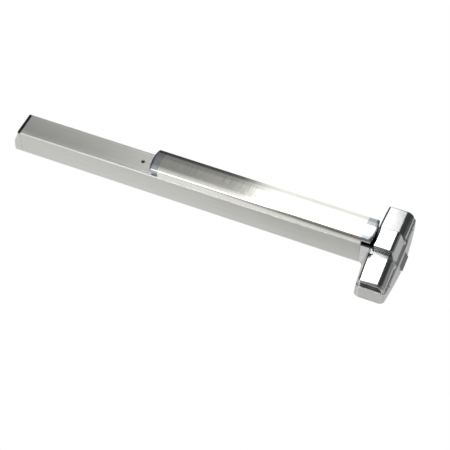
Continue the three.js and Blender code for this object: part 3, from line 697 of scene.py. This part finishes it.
def crossing_quads(inside, number):
    """A quad between the four cells round each grid edge that the surface crosses."""
    quads = []
    for axis in range(3):
        first_side, second_side = (i for i in range(3) if i != axis)
        pick = [slice(1, -1)] * 3
        pick[axis] = slice(0, -1)
        near = inside[tuple(pick)]
        pick[axis] = slice(1, None)
        far = inside[tuple(pick)]
        crossed = np.argwhere(near != far)
        outwards = near[tuple(crossed.T)]
        if axis == 1:
            outwards = ~outwards
        corners = []
        for u, v in ((0, 0), (1, 0), (1, 1), (0, 1)):
            cell = crossed.copy()
            cell[:, first_side] += u
            cell[:, second_side] += v
            corners.append(number[tuple(cell.T)])
        faces = np.stack(corners, 1)
        faces[~outwards] = faces[~outwards][:, ::-1]
        quads.append(faces)
    return np.concatenate(quads)


def surface_net(field, low, high, step):
    """Vertices and quads of the surface field = 0 on a grid, by naive surface nets."""
    axes = [np.arange(a, b + step, step) for a, b in zip(low, high)]
    values = field(*np.meshgrid(*axes, indexing="ij"))
    total, count = edge_crossings(values)
    used = count > 0
    number = np.full(count.shape, -1)
    number[used] = np.arange(used.sum())
    points = np.array(low) + (np.argwhere(used) + total[used] / count[used][:, None]) * step
    return points, crossing_quads(values < 0, number)


def settle(field, points, rounds=3, probe=0.2, longest_move=0.4):
    """Moves points onto the surface of the field."""
    for _ in range(rounds):
        slope = np.stack([
            field(*(points + probe * side).T) - field(*(points - probe * side).T) for side in np.eye(3)
        ], 1) / (2 * probe)
        steepness = np.maximum((slope ** 2).sum(1), 0.2)
        move = -(field(*points.T) / steepness)[:, None] * slope
        points = points + np.clip(move, -longest_move, longest_move)
    return points


def make_head_cover():
    step = HEAD_GRID_STEP
    points, quads = surface_net(head_field, HEAD_GRID_LOW, HEAD_GRID_HIGH, step)
    points = settle(head_field, points)
    mesh = bpy.data.meshes.new("head_casting")
    mesh.from_pydata(points.tolist(), [], quads.tolist())
    finish_piece("head_casting", mesh, "door_fixed", "polished_cover", ["head_cover"], 0)


# ---------------------------------------------------------------- carried-over nodes
def dress_frame():
    """Gives every CAD node that still shows the material of its slot."""
    slots = {part["node"]: part["material_slot"] for part in frame["record"]["subparts"]}
    for name, node in frame["nodes"].items():
        node.data.materials.clear()
        node.data.materials.append(MATERIALS[slots[name]])


# ---------------------------------------------------------------- studio
# The world's brightness by direction: each band of heights has its stops (X, brightness).
# In front a tall white card stands just left of the middle, with grey or black beside it.
ZENITH = [
    (-0.8, 0.03), (-0.3, 0.05), (-0.222, 0.08), (-0.208, 1.0), (-0.122, 1.0), (-0.1, 0.2),
    (0.0, 0.05), (0.7, 0.05)]
FRONT_TOP = [
    (-0.8, 0.04), (-0.5, 0.08), (-0.3, 0.2), (-0.225, 0.26), (-0.2, 1.5), (-0.122, 1.5),
    (-0.1, 0.75), (-0.05, 0.6), (-0.02, 0.06), (0.7, 0.05)]
FRONT_HIGH = [
    (-0.8, 0.02), (-0.5, 0.03), (-0.38, 0.06), (-0.3, 0.26), (-0.2165, 0.36), (-0.2, 3.0),
    (-0.06, 3.0), (-0.02, 0.07), (0.45, 0.04), (0.72, 0.05), (0.82, 0.3), (0.95, 0.3)]
FRONT_LOW = [
    (-0.8, 0.1), (-0.5, 0.15), (-0.38, 0.3), (-0.3, 0.7), (-0.2145, 0.9), (-0.208, 2.6),
    (-0.127, 2.6), (-0.119, 0.1), (0.5, 0.06), (0.9, 0.2)]
UNDER_FRONT = [
    (-0.8, 0.3), (-0.42, 0.5), (-0.36, 1.4), (-0.31, 2.8), (-0.215, 3.6), (-0.195, 0.3),
    (-0.12, 0.05), (0.3, 0.05), (0.8, 0.2)]
# Each band over UNDER_FRONT: the Z where it starts to fade in, the Z where it is alone, its stops.
BANDS = [(-0.8, -0.6, FRONT_LOW), (-0.35, 0.1, FRONT_HIGH), (0.62, 0.69, FRONT_TOP), (0.86, 0.95, ZENITH)]
# Behind the door is a pale grey room, with a small dark card that the head's lower end mirrors.
BEHIND = [
    (-0.8, 0.5), (-0.45, 0.6), (-0.36, 0.8), (-0.3, 0.88), (-0.2, 0.86), (-0.14, 0.78),
    (0.05, 0.68), (0.3, 0.55), (0.55, 0.5), (0.9, 0.45)]
DARK_CARD = (-0.12, 0.615, -0.779)
DARK_CARD_COSINES = (0.978, 0.99)
FLOOR_HALF = 0.75
FLOOR_LEVEL = -2.6


def ramp(nodes, value, stops):
    """Brightness by position: stops are (place from -1 to 1, brightness), in order."""
    node = nodes.add("ShaderNodeValToRGB", {"Fac": nodes.remap(value, -1.0, 1.0, 0.0, 1.0)})
    elements = node.color_ramp.elements
    while len(elements) < len(stops):
        elements.new(0.5)
    for element, (place, brightness) in zip(elements, stops):
        element.position = (place + 1) / 2
        element.color = shade(brightness)
    return node.outputs["Color"]


def studio_light(nodes, x, y, z):
    """The bands in front, mixed by height, and the room behind, which starts further back overhead."""
    front = ramp(nodes, x, UNDER_FRONT)
    for low, high, stops in BANDS:
        above = nodes.remap(z, low, high, 0.0, 1.0, smooth=True)
        front = nodes.mix(above, front, ramp(nodes, x, stops))
    overhead = nodes.math("MULTIPLY", nodes.math("MAXIMUM", z, 0.0), 0.6)
    behind = nodes.remap(nodes.math("SUBTRACT", y, overhead), -0.1, 0.15, 0.0, 1.0, smooth=True)
    return nodes.mix(behind, front, ramp(nodes, x, BEHIND))


def make_world():
    """The camera sees plain white, and everything else is lit by the studio."""
    world = bpy.data.worlds.new("studio")
    bpy.context.scene.world = world
    world.use_nodes = True
    tree = world.node_tree
    tree.nodes.clear()
    nodes = Nodes(tree)
    toward = nodes.add("ShaderNodeTexCoord").outputs["Generated"]
    parts = nodes.split(toward)
    light = studio_light(nodes, parts["X"], parts["Y"], parts["Z"])
    card = nodes.add("ShaderNodeVectorMath", {0: toward, 1: Vector(DARK_CARD)}, operation="DOT_PRODUCT")
    beside_card = nodes.remap(card.outputs["Value"], *DARK_CARD_COSINES, 1.0, 0.03, smooth=True)
    studio = nodes.add("ShaderNodeBackground", {"Color": light, "Strength": beside_card})
    white = nodes.add("ShaderNodeBackground", {"Color": shade(1.0), "Strength": 1.0})
    camera = nodes.add("ShaderNodeLightPath").outputs["Is Camera Ray"]
    mixed = nodes.add("ShaderNodeMixShader", {0: camera, 1: studio.outputs[0], 2: white.outputs[0]})
    output = nodes.add("ShaderNodeOutputWorld")
    tree.links.new(mixed.outputs[0], output.inputs["Surface"])


def make_floor():
    """A pale floor far below, out of the picture."""
    mesh = bpy.data.meshes.new("floor")
    half, level = FLOOR_HALF, FLOOR_LEVEL
    corners = [(-half, -half, level), (half, -half, level), (half, half, level), (-half, half, level)]
    mesh.from_pydata(corners, [], [(0, 1, 2, 3)])
    floor = bpy.data.objects.new("floor", mesh)
    bpy.context.collection.objects.link(floor)
    material, nodes, shader, place = new_material("pale_floor")
    grain = nodes.noise(place, 12.0)
    nodes.set(shader, "Base Color", nodes.mix(grain, shade(0.82), shade(0.86)))
    shader.inputs["Roughness"].default_value = 0.8
    floor.data.materials.append(material)


MATERIALS = make_materials()
make_camera()
make_case()
make_cover_plate()
make_end_cap()
make_end_strip()
make_pad()
make_pad_caps()
make_head_cover()
dress_frame()
make_world()
make_floor()
bpy.context.scene.view_settings.view_transform = "Standard"
